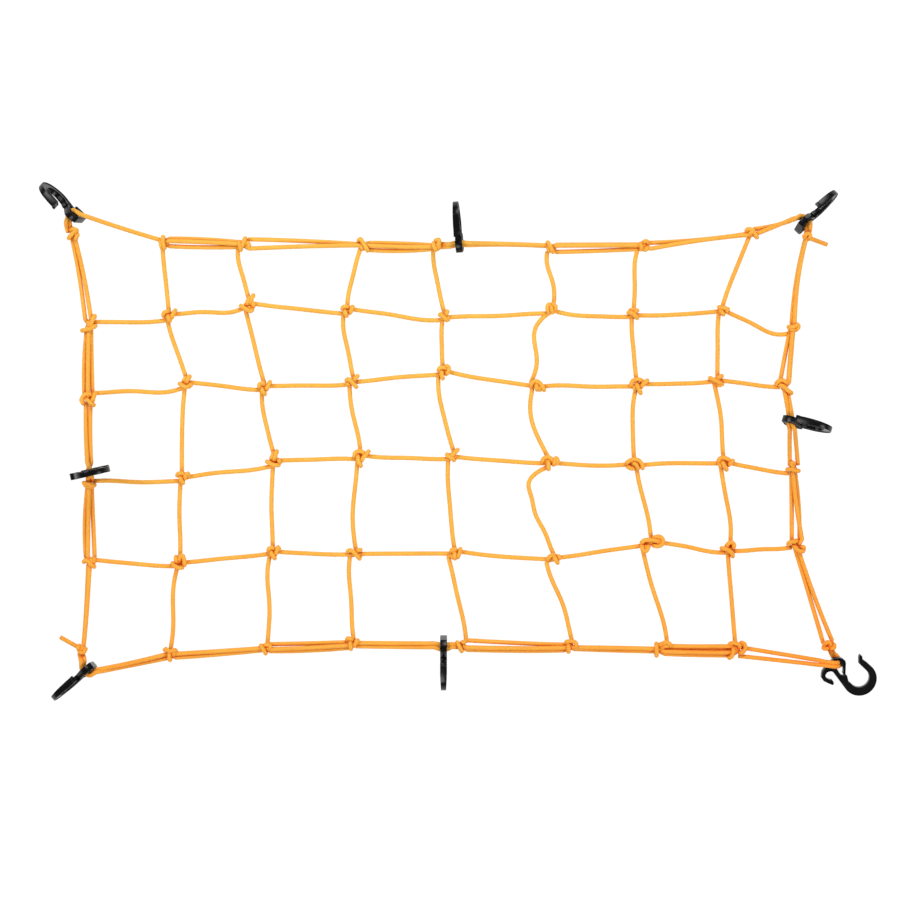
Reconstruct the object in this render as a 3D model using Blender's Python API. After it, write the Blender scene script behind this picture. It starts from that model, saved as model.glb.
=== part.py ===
"""A cargo net laid out flat, seen with its long side left to right.

Elastic cord is knotted into a mesh of eight by five cells. A doubled border cord carries the mesh and
eight plastic hooks. The tables below are in millimetres: x to the right, y towards the top edge, z up
from the floor.
"""

import math

import bmesh
import bpy
from mathutils import Euler, Vector

MM = 0.001

# Cord
CORD_RADIUS = 2.0
CORD_AXIS = 2.15  # height of the axis of a cord that lies on the floor
STRAND_PITCH = 4.4  # between strands that lie side by side
STRAND_END = 3.0  # a strand ends this far from the middle of the knot that holds it
LIFT_REACH = 60.0  # a cord comes down from a lifted knot within this distance

# The middle of the net's widest extents, taken as the origin
MIDDLE_X = -0.1
MIDDLE_Y = -0.84

# Knots of the border: name: (x, y, height of its underside)
EDGE_KNOTS = {
    "tie_top_left": (-383.6, 203.6, 11.5),
    "top_1": (-294.0, 197.0, 0.0),
    "top_2": (-214.4, 196.0, 0.0),
    "top_3": (-94.4, 195.0, 0.0),
    "top_4": (-22.0, 193.6, 10.0),
    "top_5": (92.7, 192.0, 0.0),
    "top_6": (185.8, 194.0, 0.0),
    "top_7": (292.4, 206.0, 0.0),
    "tie_top_right": (345.7, 201.4, 15.0),
    "right_1": (334.0, 113.0, 0.0),
    "right_2": (324.0, 54.0, 1.5),
    "right_3": (333.5, -28.0, 1.0),
    "right_4": (336.0, -104.0, 0.0),
    "tie_bottom_right": (369.6, -205.0, 3.0),
    "bottom_7": (276.6, -209.5, 0.0),
    "bottom_6": (200.5, -209.5, 0.0),
    "bottom_5": (110.4, -205.5, 0.0),
    "bottom_4": (3.0, -204.0, 10.0),
    "bottom_3": (-106.3, -203.0, 0.0),
    "bottom_2": (-193.6, -207.0, 0.0),
    "bottom_1": (-288.0, -213.0, 0.0),
    "tie_bottom_left": (-375.5, -207.5, 11.5),
    "left_4": (-368.5, -121.0, 0.0),
    "left_3": (-368.5, -43.6, 6.0),
    "left_2": (-369.6, 41.0, 0.0),
    "left_1": (-368.5, 117.0, 0.0),
}

# Knots of the mesh, one line for each row from the top: (x, y) from left to right
MESH_KNOTS = [
    [(-289, 124), (-211, 135), (-112, 129), (-15, 123), (92, 131), (174, 126), (263, 129)],
    [(-273, 57), (-194, 52), (-107, 58), (-15, 68), (78, 54), (179, 54), (257, 60)],
    [(-275.5, -37), (-185, -19), (-99, -17), (-7, -15), (90, -22.5), (176, -24), (265, -23)],
    [(-280, -121), (-185, -112), (-104, -113), (-3, -113), (94, -118), (191, -102), (269, -110)],
]

# How each span of a column sags, from the top: (bow, wave, ripple), to the left of the way down
COLUMN_SHAPES = [
    [(-2, -2, -2.5), (2, -4, -2), (-4, 0, -1.5), (-1.5, -3.5, -0.5), (-2.5, -1.5, 0)],
    [(-5, -6, -0.5), (-2, -2.5, -1.5), (-5, -3, -0.5), (-3.5, -1, -1), (-2, -4.5, -0.5)],
    [(-6.5, -2.5, -1.5), (2.5, -4.5, -2.5), (-1, -2, -1), (-5, -1.5, 0), (-4.5, -3, -1)],
    [(0.5, -3.5, -2.5), (-4, -1, -1), (-5, -4, -1), (-5.5, -2, -1.5), (-1, -6, -0.5)],
    [(-1, -4.5, -1), (-10.5, -3.5, -2), (-8.5, -4.5, 0), (-17, -7, -4.5), (-0.5, -4, -2)],
    [(-5.5, -3.5, -2), (-2.5, -0.5, -0.5), (-4.5, -1, -1), (3, -1.5, 1), (0.5, -7, -0.5)],
    [(-1, 0, -0.5), (-3.5, -3.5, -1), (0.5, 0, -1.5), (2.5, -2.5, -1), (0, 0, 0)],
]

# How each span of a row sags, from the left: (bow, wave, ripple), to the left of the way across
ROW_SHAPES = [
    [(-2.5, 2.5, -0.5), (-2, 2.5, 0), (-1.5, 2, -0.5), (0, 4, -1),
     (-3, 1.5, -0.5), (-6, 1, -1), (-2, -0.5, -1), (-7.5, 4.5, -2.5)],
    [(0.5, 6.5, 0.5), (-0.5, 2.5, 0), (-1.5, 3.5, 0), (-2, -1, -1.5),
     (-2.5, 2.5, 1), (0, 1, 0.5), (0, 2, 0), (-2.5, 1, -0.5)],
    [(-2.5, 4.5, -0.5), (-4, 3.5, -2), (-0.5, -0.5, -1.5), (-4.5, 3.5, 0),
     (-2.5, -1.5, -1.5), (-2.5, 0, 0.5), (0.5, 0, 0), (-4.5, 4.5, -2)],
    [(-3.5, 4, -1), (-2, -1.5, -1), (-2, 1.5, -0.5), (-2, -0.5, -0.5),
     (-0.5, 1, 0), (-1.5, 1.5, -0.5), (-1, 2.5, -0.5), (-3, 0.5, -1)],
]

# How far the two ends of each column, and of each row, stop from the middle of their edge knots
COLUMN_ENDS = [(6.5, 7.6), (7.0, 7.5), (7.0, 7.6), (6.5, 6.6), (6.2, 7.6), (9.0, 6.9), (7.0, 7.6)]
ROW_ENDS = [(7.1, 7.0), (8.5, 6.8), (6.3, 6.6), (7.1, 6.9)]

# The border between two knots, clockwise: (from, to, strands, bow to the outside)
BORDER_SPANS = [
    ("top_1", "top_2", 3, 0.0),
    ("top_2", "top_3", 2, 0.0),
    ("top_3", "top_4", 3, -1.2),
    ("top_5", "top_6", 3, 0.0),
    ("top_6", "top_7", 2, -1.0),
    ("tie_top_right", "right_1", 2, -2.0),
    ("right_1", "right_2", 3, 0.0),
    ("right_3", "right_4", 3, 0.0),
    ("right_4", "tie_bottom_right", 2, 0.0),
    ("bottom_7", "bottom_6", 3, 0.0),
    ("bottom_6", "bottom_5", 2, 0.0),
    ("bottom_5", "bottom_4", 3, -1.0),
    ("bottom_3", "bottom_2", 3, 0.0),
    ("bottom_2", "bottom_1", 2, 2.5),
    ("tie_bottom_left", "left_4", 2, 0.0),
    ("left_4", "left_3", 3, 0.0),
    ("left_2", "left_1", 3, 0.0),
    ("left_1", "tie_top_left", 2, 0.0),
]

# A hook's place: name: (x and y of the middle of its eye, yaw, pitch, roll in degrees). At zero it lies
# flat with its bend towards +x. Pitch lifts the bend, and a roll of 90 stands its arm up.
HOOKS = {
    "hook_top_left": (-383.3, 223.7, 130.0, -17.0, 74.0),
    "hook_top_middle": (-0.2, 194.5, 94.0, 2.0, 86.0),
    "hook_top_right": (342.9, 217.0, 38.8, -10.0, 78.0),
    "hook_right_middle": (328.8, 19.4, -15.0, 13.0, 84.0),
    "hook_bottom_right": (376.7, -224.5, -49.0, -7.5, 4.0),
    "hook_bottom_middle": (-15.6, -205.0, -90.0, -20.0, 90.0),
    "hook_bottom_left": (-369.7, -227.8, 222.0, -10.0, 93.0),
    "hook_left_middle": (-367.0, -31.8, 8.0, 57.0, 95.0),
}

# The border goes straight through the eye of a hook on a side: (from, hook, to, way through)
SIDE_HOOK_SPANS = [
    ("top_4", "hook_top_middle", "top_5", 1),
    ("right_2", "hook_right_middle", "right_3", 1),
    ("bottom_4", "hook_bottom_middle", "bottom_3", 1),
    ("left_3", "hook_left_middle", "left_2", -1),
]

# The border turns in the eye of a corner hook: (from, hook, to, first and last angle of the turn)
CORNER_HOOK_SPANS = [
    ("tie_top_left", "hook_top_left", "top_1", -55, 60),
    ("top_7", "hook_top_right", "tie_top_right", -58, 38),
    ("bottom_1", "hook_bottom_left", "tie_bottom_left", -60, 28),
]

# At the bottom right the border comes up through the eye of the flat hook and back over its frame:
# (a, b, height), a and b along and across the hook from the middle of its eye
FLAT_HOOK_INNER = [(-9, 4.2, 2.2), (-5, 2.8, 2.2), (-2.6, 1.6, 3.6), (-1.7, 1.0, 7.5), (-1.6, 0.8, 12.8),
                   (-2.3, 0.1, 15), (-5, -2.9, 16), (-9.5, -8, 15.7), (-16, -15.5, 12)]
FLAT_HOOK_OUTER = [(-9, 9.2, 2.2), (-3, 8.2, 2.2), (2.4, 5.2, 2.1), (2.6, 2.4, 2.2), (2.7, 0.9, 4.3),
                   (2.7, 0.2, 7.5), (2.5, 0, 12.2), (2.2, -1.2, 14.2), (1.2, -3.2, 15.2), (-4, -9.6, 15.5),
                   (-9.5, -15.8, 15.5), (-16, -23.3, 12)]

# Cut ends that stand out of the ties: (tie, x, y and height of the end)
CUT_ENDS = [
    ("tie_top_right", 366.0, 195.0, 9.0),
    ("tie_bottom_left", -397.5, -196.5, 6.0),
]

# The strands in an eye, along the hook from the middle of the eye
EYE_LANES = (3.1, -1.7)
EYE_HEIGHT = 0.0
EYE_HALF_DEPTH = 8.0
TURN_MIDDLE = -6.5
TURN_RADII = (11.2, 6.9)

# A mesh knot has four lobes between its four cords, and an edge knot is a plain drum
MESH_KNOT = {"along": 6.6, "across": 6.6, "top": 9.2, "lobe": 0.14, "turn": 14.0, "rings": 5}
EDGE_KNOT = {"along": 6.7, "across": 7.2, "top": 9.0, "lobe": 0.0, "turn": 0.0, "rings": 4}
KNOT_SIDES = 8
KNOT_WAIST = 3.9  # height of a knot's widest part

# Hook
HOOK_HALF_THICKNESS = 3.4
HOOK_EYE_SIDE = [(1.5, -7.3)]
HOOK_BEND_OUTER = {"a": 24.5, "b": 8.3, "radius": 17.2, "start": -97, "end": 92, "steps": 14}
HOOK_TIP = [(16.4, 24.5), (10.8, 23.2), (8.0, 24.9), (5.8, 24.6), (6.4, 22.2), (11.7, 17.8)]
HOOK_BEND_INNER = {"a": 23.5, "b": 9.0, "radius": 9.9, "start": 93.5, "end": -93.5, "steps": 11}
HOOK_CATCH = [(19.0, -1.6), (15.6, -0.1), (13.6, 1.0), (12.1, 0.8), (11.2, -1.9), (8.7, -3.4)]
HOOK_EYE = [(2.9, -2.4), (-3.0, -3.0), (-4.4, -1.0), (-4.2, 2.0), (-2.5, 3.9), (0.4, 4.1), (3.8, 3.1),
            (7.0, 1.5), (8.7, -0.7)]
HOOK_FINGER_END = [(10.5, -1.1), (11.1, 0.8)]
HOOK_FRAME = [(3.1, 7.9), (0.7, 9.2), (-2.7, 8.6), (-5.9, 6.5), (-8.6, 1.9)]
HOOK_SIDE_HOOK = [(-6.7, -12.0), (-6.1, -14.9), (-4.2, -17.4), (-1.5, -19.9), (2.4, -20.3), (8.0, -17.9),
                  (11.6, -16.0), (11.3, -14.3), (9.3, -13.2), (7.0, -13.1), (5.6, -14.8), (1.5, -16.3),
                  (-1.2, -15.2), (-2.2, -11.7), (-0.6, -8.4)]

# Materials: name: (base colour, roughness)
MATERIALS = {
    "border_cord_fabric": ((0.93, 0.42, 0.06, 1.0), 0.75),
    "mesh_cord_fabric": ((0.93, 0.42, 0.06, 1.0), 0.75),
    "hook_plastic": ((0.02, 0.02, 0.022, 1.0), 0.4),
}


def clear_scene():
    for item in list(bpy.data.objects):
        bpy.data.objects.remove(item, do_unlink=True)


def new_collection(name):
    collection = bpy.data.collections.new(name)
    bpy.context.scene.collection.children.link(collection)
    return collection


def new_material(name, colour, roughness):
    material = bpy.data.materials.new(name)
    material.use_nodes = True
    shader = material.node_tree.nodes["Principled BSDF"]
    shader.inputs["Base Color"].default_value = colour
    shader.inputs["Roughness"].default_value = roughness
    return material


def arc(a, b, radius, start, end, steps):
    """Points of an arc, first and last included. The angles are in degrees."""
    points = []
    for step in range(steps + 1):
        angle = math.radians(start + (end - start) * step / steps)
        points.append((a + radius * math.cos(angle), b + radius * math.sin(angle)))
    return points


def left_of(direction):
    """The level unit vector to the left of a direction, seen from above."""
    return Vector((-direction.y, direction.x, 0.0)).normalized()


def knot_middle(name):
    """The point on a knot's axis where a cord enters it."""
    x, y, lift = EDGE_KNOTS[name]
    return Vector((x, y, CORD_AXIS + lift))


def mesh_knot_middle(row, column):
    x, y = MESH_KNOTS[row][column]
    return Vector((x, y, CORD_AXIS))


def hanging_height(along, length, start_rise, end_rise):
    """The rise of a cord that comes down from a lifted knot at either end."""
    reach = min(LIFT_REACH, length)
    from_start = max(0.0, 1.0 - along / reach)
    from_end = max(0.0, 1.0 - (length - along) / reach)
    return start_rise * from_start**2 + end_rise * from_end**2


def span_points(start, end, shape, lane, start_trim, end_trim, segments):
    """A cord from one knot to the next, with its sag and its lane offset to the left."""
    bow, wave, ripple = shape
    flat = Vector((end.x - start.x, end.y - start.y, 0.0))
    length = flat.length
    ahead = flat.normalized()
    left = left_of(flat)
    points = []
    for step in range(segments + 1):
        along = start_trim + (length - start_trim - end_trim) * step / segments
        turn = math.pi * along / length
        offset = lane + bow * math.sin(turn) + wave * math.sin(2 * turn) + ripple * math.sin(3 * turn)
        point = start + ahead * along + left * offset
        point.z = CORD_AXIS + hanging_height(along, length, start.z - CORD_AXIS, end.z - CORD_AXIS)
        points.append(point)
    return points


def span_segments(shape, start, end):
    """More pieces where a cord bends more, or comes down from a lifted knot."""
    bow, wave, ripple = shape
    if max(start.z, end.z) > CORD_AXIS + 3.0:
        return 5
    bend = abs(bow) + 2.5 * abs(wave) + 4.0 * abs(ripple)
    if bend < 1.0:
        return 1
    if bend < 6.0:
        return 3
    if bend < 14.0:
        return 4
    return 5


def lanes(count):
    """Offsets of strands that lie side by side, the outermost first."""
    return [STRAND_PITCH * ((count - 1) / 2 - index) for index in range(count)]


def hook_rotation(name):
    x, y, yaw, pitch, roll = HOOKS[name]
    return Euler((math.radians(roll), math.radians(-pitch), math.radians(yaw)), "XYZ")


def hook_outline():
    """The hook's outline round its arm, bend, catch, eye and side hook."""
    points = list(HOOK_EYE_SIDE)
    points += arc(**HOOK_BEND_OUTER)
    points += HOOK_TIP
    points += arc(**HOOK_BEND_INNER)
    points += HOOK_CATCH
    points += HOOK_EYE
    points += HOOK_FINGER_END
    points += HOOK_FRAME
    points += HOOK_SIDE_HOOK
    return points


def hook_eye_middle(name):
    """The middle of the eye, at the height that rests the hook on the floor."""
    x, y, yaw, pitch, roll = HOOKS[name]
    turn = hook_rotation(name).to_matrix()
    lowest = 0.0
    for a, b in hook_outline():
        for side in (-HOOK_HALF_THICKNESS, HOOK_HALF_THICKNESS):
            lowest = min(lowest, (turn @ Vector((a, b, side))).z)
    return Vector((x, y, -lowest))


def hook_point(name, a, b, c):
    """A point given along, across and through a hook."""
    return hook_eye_middle(name) + hook_rotation(name).to_matrix() @ Vector((a, b, c))


def strand_to_knot(last, knot, lane_side, steps):
    """Points from an eye down to a knot, on the lane to the left or right of the way there."""
    middle = knot_middle(knot)
    flat = Vector((middle.x - last.x, middle.y - last.y, 0.0))
    goal = middle - flat.normalized() * STRAND_END + left_of(flat) * lane_side * STRAND_PITCH / 2
    points = []
    for step in range(1, steps + 1):
        share = step / steps
        point = last.lerp(goal, share)
        point.z = goal.z + (last.z - goal.z) * (1 - share) ** 2
        points.append(point)
    return points


def strand_through_eye(start, eye_points, end, lane_side):
    """A strand from one knot through an eye to the next knot."""
    steps_in = 1 if (knot_middle(start) - eye_points[0]).length < 30 else 4
    steps_out = 1 if (knot_middle(end) - eye_points[-1]).length < 30 else 4
    way_in = strand_to_knot(eye_points[0], start, -lane_side, steps_in)
    way_out = strand_to_knot(eye_points[-1], end, lane_side, steps_out)
    return list(reversed(way_in)) + eye_points + way_out


def side_hook_strands():
    strands = []
    for start, hook, end, way in SIDE_HOOK_SPANS:
        for lane_side, along in zip((1, -1), EYE_LANES):
            eye_points = [
                hook_point(hook, way * along + (1 - way) * 0.6, EYE_HEIGHT, way * depth)
                for depth in (-EYE_HALF_DEPTH, EYE_HALF_DEPTH)
            ]
            strands.append(strand_through_eye(start, eye_points, end, lane_side))
    return strands


def corner_hook_strands():
    strands = []
    for start, hook, end, first, last in CORNER_HOOK_SPANS:
        for lane_side, radius in zip((1, -1), TURN_RADII):
            turn = arc(TURN_MIDDLE, 0.0, radius, first, last, 4)
            eye_points = [hook_point(hook, a, EYE_HEIGHT, c) for a, c in turn]
            strands.append(strand_through_eye(start, eye_points, end, lane_side))
    return strands


def flat_hook_strands():
    """The two strands of the bottom right corner, which lie over the frame of the hook."""
    x, y, yaw, pitch, roll = HOOKS["hook_bottom_right"]
    ahead = Vector((math.cos(math.radians(yaw)), math.sin(math.radians(yaw)), 0.0))
    strands = []
    for lane_side, table in ((1, FLAT_HOOK_OUTER), (-1, FLAT_HOOK_INNER)):
        eye_points = [
            Vector((x, y, 0.0)) + ahead * a + left_of(ahead) * b + Vector((0.0, 0.0, height))
            for a, b, height in table
        ]
        strands.append(strand_through_eye("tie_bottom_right", eye_points, "bottom_7", lane_side))
    return strands


def border_strands():
    """Every strand of the border cord, each a list of points."""
    strands = []
    for start, end, count, bow in BORDER_SPANS:
        first = knot_middle(start)
        last = knot_middle(end)
        shape = (bow, 0.0, 0.0)
        segments = span_segments(shape, first, last)
        for lane in lanes(count):
            strands.append(span_points(first, last, shape, lane, STRAND_END, STRAND_END, segments))
    strands += side_hook_strands()
    strands += corner_hook_strands()
    strands += flat_hook_strands()
    for tie, x, y, height in CUT_ENDS:
        middle = knot_middle(tie)
        end = Vector((x, y, height))
        strands.append([middle + (end - middle).normalized() * STRAND_END, end])
    return strands


def mesh_strands():
    """Every span of the mesh cord, down the columns and then across the rows."""
    strands = []
    for column, shapes in enumerate(COLUMN_SHAPES):
        middles = [knot_middle(f"top_{column + 1}")]
        middles += [mesh_knot_middle(row, column) for row in range(len(MESH_KNOTS))]
        middles += [knot_middle(f"bottom_{column + 1}")]
        strands += run_strands(middles, shapes, COLUMN_ENDS[column])
    for row, shapes in enumerate(ROW_SHAPES):
        middles = [knot_middle(f"left_{row + 1}")]
        middles += [mesh_knot_middle(row, column) for column in range(len(COLUMN_SHAPES))]
        middles += [knot_middle(f"right_{row + 1}")]
        strands += run_strands(middles, shapes, ROW_ENDS[row])
    return strands


def run_strands(middles, shapes, ends):
    """The spans of one column or row. Its two ends stop short of the border's knots."""
    strands = []
    for index, shape in enumerate(shapes):
        start, end = middles[index], middles[index + 1]
        start_trim = ends[0] if index == 0 else STRAND_END
        end_trim = ends[1] if index == len(shapes) - 1 else STRAND_END
        segments = span_segments(shape, start, end)
        strands.append(span_points(start, end, shape, 0.0, start_trim, end_trim, segments))
    return strands


def placed(point):
    """A table point in metres, from the origin."""
    return Vector((point.x - MIDDLE_X, point.y - MIDDLE_Y, point.z)) * MM


def cords_mesh(name, strands):
    """Round cords along the strands, as one mesh with filled ends."""
    curve = bpy.data.curves.new(name, "CURVE")
    curve.dimensions = "3D"
    curve.twist_mode = "Z_UP"
    curve.bevel_depth = CORD_RADIUS * MM
    curve.bevel_resolution = 1
    curve.use_fill_caps = True
    for strand in strands:
        spline = curve.splines.new("POLY")
        spline.points.add(len(strand) - 1)
        for spot, point in zip(spline.points, strand):
            spot.co = (*placed(point), 1.0)
    item = bpy.data.objects.new(name, curve)
    bpy.context.scene.collection.objects.link(item)
    bpy.context.view_layer.update()
    evaluated = item.evaluated_get(bpy.context.evaluated_depsgraph_get())
    mesh = bpy.data.meshes.new_from_object(evaluated)
    bpy.data.objects.remove(item, do_unlink=True)
    body = bmesh.new()
    body.from_mesh(mesh)
    bmesh.ops.remove_doubles(body, verts=body.verts, dist=0.00001)
    body.to_mesh(mesh)
    body.free()
    return mesh


def add_knot(body, middle, heading, sizes):
    """A knot's lump: widest at its waist, flat underneath, with its lobes between the cords."""
    made = bmesh.ops.create_uvsphere(
        body, u_segments=KNOT_SIDES, v_segments=sizes["rings"], radius=1.0
    )
    floor = middle.z - CORD_AXIS
    for vert in made["verts"]:
        spin = math.atan2(vert.co.y, vert.co.x)
        level = vert.co.z
        width = math.sqrt(max(0.0, 1.0 - level**2))
        if level < 0.0:
            width = math.sqrt(width)
        twist = math.radians(sizes["turn"]) * level
        swell = width * (1.0 - sizes["lobe"] * math.cos(4 * spin))
        along = sizes["along"] * swell * math.cos(spin + heading + twist)
        across = sizes["across"] * swell * math.sin(spin + heading + twist)
        rise = (sizes["top"] - KNOT_WAIST) if level > 0.0 else KNOT_WAIST + 1.8
        height = max(0.0, KNOT_WAIST + rise * level)
        vert.co = placed(Vector((middle.x + along, middle.y + across, floor + height)))


def knots_mesh(name, knots, sizes):
    """The lumps of one cord as one mesh. Each knot is its middle and the way its cords leave it."""
    body = bmesh.new()
    for middle, heading in knots:
        add_knot(body, middle, heading, sizes)
    bmesh.ops.remove_doubles(body, verts=body.verts, dist=0.00001)
    mesh = bpy.data.meshes.new(name)
    body.to_mesh(mesh)
    body.free()
    return mesh


def cord_node(name, strands, knots, sizes, material, strands_meet):
    """Cords and knots joined to one body. strands_meet says that cords may also meet each other."""
    collection = new_collection(name)
    cutters = new_collection(name + "_knots")
    item = bpy.data.objects.new(name, cords_mesh(name, strands))
    collection.objects.link(item)
    lumps = bpy.data.objects.new(name + "_lumps", knots_mesh(name + "_lumps", knots, sizes))
    lumps.hide_render = True
    lumps.display_type = "WIRE"
    cutters.objects.link(lumps)
    join = item.modifiers.new("join_knots", "BOOLEAN")
    join.operation = "UNION"
    join.solver = "EXACT"
    join.use_self = strands_meet
    join.object = lumps
    item.data.materials.append(material)
    item.data.shade_smooth()
    return item


def hook_node(name, material):
    """One hook: its outline as a filled curve, as thick as the hook."""
    curve = bpy.data.curves.new(name, "CURVE")
    curve.dimensions = "2D"
    curve.fill_mode = "BOTH"
    curve.extrude = HOOK_HALF_THICKNESS * MM
    spline = curve.splines.new("POLY")
    outline = hook_outline()
    spline.points.add(len(outline) - 1)
    for spot, (a, b) in zip(spline.points, outline):
        spot.co = (a * MM, b * MM, 0.0, 1.0)
    spline.use_cyclic_u = True
    item = bpy.data.objects.new(name, curve)
    item.location = placed(hook_eye_middle(name))
    item.rotation_euler = hook_rotation(name)
    curve.materials.append(material)
    new_collection(name).objects.link(item)
    return item


def border_headings():
    """Each edge knot with the way that the border runs through it."""
    names = list(EDGE_KNOTS)
    knots = []
    for index, name in enumerate(names):
        middle = knot_middle(name)
        ahead = knot_middle(names[(index + 1) % len(names)]) - knot_middle(names[index - 1])
        knots.append((middle, math.atan2(ahead.y, ahead.x)))
    return knots


def main():
    clear_scene()
    materials = {name: new_material(name, *values) for name, values in MATERIALS.items()}
    mesh_knots = [(Vector((x, y, CORD_AXIS)), 0.0) for row in MESH_KNOTS for x, y in row]
    border_fabric = materials["border_cord_fabric"]
    mesh_fabric = materials["mesh_cord_fabric"]
    cord_node("border_cord", border_strands(), border_headings(), EDGE_KNOT, border_fabric, True)
    cord_node("mesh_cord", mesh_strands(), mesh_knots, MESH_KNOT, mesh_fabric, True)
    for name in HOOKS:
        hook_node(name, materials["hook_plastic"])


main()
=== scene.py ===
"""A cargo net of orange elastic cord with eight black plastic hooks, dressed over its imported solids.

The tables are in millimetres, x to the right, y towards the top edge and z up from the floor. Lights,
floor and materials are in metres.
"""

import math

import bmesh
import bpy
import numpy as np
from mathutils import Euler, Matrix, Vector


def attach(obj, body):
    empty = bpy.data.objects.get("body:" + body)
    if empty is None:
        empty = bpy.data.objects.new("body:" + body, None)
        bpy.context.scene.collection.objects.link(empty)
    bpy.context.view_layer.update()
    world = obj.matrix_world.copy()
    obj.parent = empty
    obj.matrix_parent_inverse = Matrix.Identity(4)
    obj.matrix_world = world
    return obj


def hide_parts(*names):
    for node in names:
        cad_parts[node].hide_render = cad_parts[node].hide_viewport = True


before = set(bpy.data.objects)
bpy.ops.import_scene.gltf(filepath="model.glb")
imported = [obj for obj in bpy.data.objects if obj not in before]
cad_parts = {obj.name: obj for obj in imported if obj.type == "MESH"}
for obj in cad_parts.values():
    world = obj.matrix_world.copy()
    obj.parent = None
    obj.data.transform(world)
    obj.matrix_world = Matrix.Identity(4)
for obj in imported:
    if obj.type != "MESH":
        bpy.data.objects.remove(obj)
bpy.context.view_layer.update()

MM = 0.001
WHITE = (1.0, 1.0, 1.0, 1.0)

# The middle of the net's widest extents, taken as the origin
MIDDLE_X = -0.1
MIDDLE_Y = -0.84

# Camera, straight above the point that is in the middle of the picture
CAMERA_X = -9.2
CAMERA_Y = -9.65
CAMERA_HEIGHT = 2300.0
CAMERA_LENS = 92.0
SENSOR_WIDTH = 36.0
CLIP_END = 20.0

# Soft lights all round, in metres and watts: (name, place, size, power)
LIGHTS = [
    ("light_left", (-2.2, 0.9, 2.1), 1.5, 44.5),
    ("light_back", (0.6, 2.3, 2.1), 1.5, 44.5),
    ("light_right", (2.3, -0.6, 2.1), 1.5, 36.5),
    ("light_front", (-0.5, -2.3, 2.1), 1.5, 36.5),
]
WORLD_STRENGTH = 0.12

# Floor, in metres
FLOOR_REACH = 4
FLOOR_GAP = 0.0002

# Colours
# The dark colour is reached as painted shade in the grooves between the carriers and in darker random patches
# and fibres
CORD_DARK = (0.92, 0.30, 0.010, 1.0)  # between the carriers of the braid
CORD_LIGHT = (1.0, 0.60, 0.076, 1.0)  # on the carriers
# Painted shade, a deeper and darker orange where a cord is close to another
CORD_PAINTED_SHADE = (0.86, 0.22, 0.004, 1.0)  # where a cord is close to another
CORD_WARMTH = (0.96, 0.62, 0.16, 1.0)  # multiplied in toward the lower and the right-hand edge
CORD_SHEEN = (1.0, 0.75, 0.4, 1.0)
PLASTIC_DARK = (0.0015, 0.0015, 0.002, 1.0)
PLASTIC_LIGHT = (0.0045, 0.0045, 0.005, 1.0)

# Sizes in the materials, in metres
# The reach of the painted shade between close cords
PAINTED_SHADE_REACH = 0.005
CARRIER_LENGTH = 0.0017
YELLOWEST_X = -0.07
YELLOWEST_Y = 0.2

# Shares in the material of the cord
CARRIERS = 8  # round the cord
BRAID_ROUNDING = 0.6
# The share of the painted shade in the braid's grooves
BRAID_SHADE_SHARE = 0.55
PATCH_SHARE = 0.5
FIBRE_SHARE = 0.16
FIBRE_HEIGHT = 0.4
# The power on the openness that sets the painted shade between close cords
PAINTED_SHADE_DEPTH = 1.15
DOWN_SHARE = 0.95
REDNESS = 2.5

# Cord
CORD_RADIUS = 2.2
CORD_AXIS = 2.2  # the height of its middle line where it lies on the floor
CORD_SIDES = 12
LEVEL_RISE = 3.5  # from a strand on the floor to one that lies on it
LIFT_REACH = 60.0  # how far from a raised knot a cord still hangs
NEARLY_UPRIGHT = 0.9  # as the cosine of the angle to the vertical

# Distances between the points of a cord's route, and then between the rings of its tube
SPAN_STEP = 4.0
BORDER_STEP = 5.0
EYE_STEP = 6.0
MESH_SPACING = 3.0
BORDER_SPACING = 4.0
EYE_SPACING = 2.0
KNOT_SPACING = 0.9
SHORTEST_CHORD = 0.001
FEWEST_STEPS = 6
FEWEST_EYE_STEPS = 2

# Strands near the knots and the hooks
SPAN_INSET = 3.5  # a mesh strand starts this far from a knot's middle
KNOT_PINCH = 0.35  # the share of its offset that a border strand keeps in a knot
PINCH_REACH = 6.0
EYE_STRAND_INSET = 3.0
EYE_CLEARANCE = 6.0  # a strand's own route starts this far past the eye
EARLIEST_START = 4.0
LATEST_START = 0.45  # as a share of the strand
RISE_HEAD_START = 2.0
RISE_FROM_EYE = 12.0
RISE_TO_KNOT = 8.0

# Cords on a knot
TIP_INSET = 1.3  # a cord that dives under a knot turns this far inside its visible tip
BURIED_INSET = 1.6
UNDER_HEIGHT = 2.6
SHOULDER_INSET = 1.5
SHOULDER_DROP = 0.3
CORE_RADIUS = 3.0
CORE_REACH = 3.1
TIE_CORE_REACH = 0.8
CORE_SLANT = 0.9
CORE_HEIGHT = 3.6
CORE_END_HEIGHT = 3.0

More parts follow.
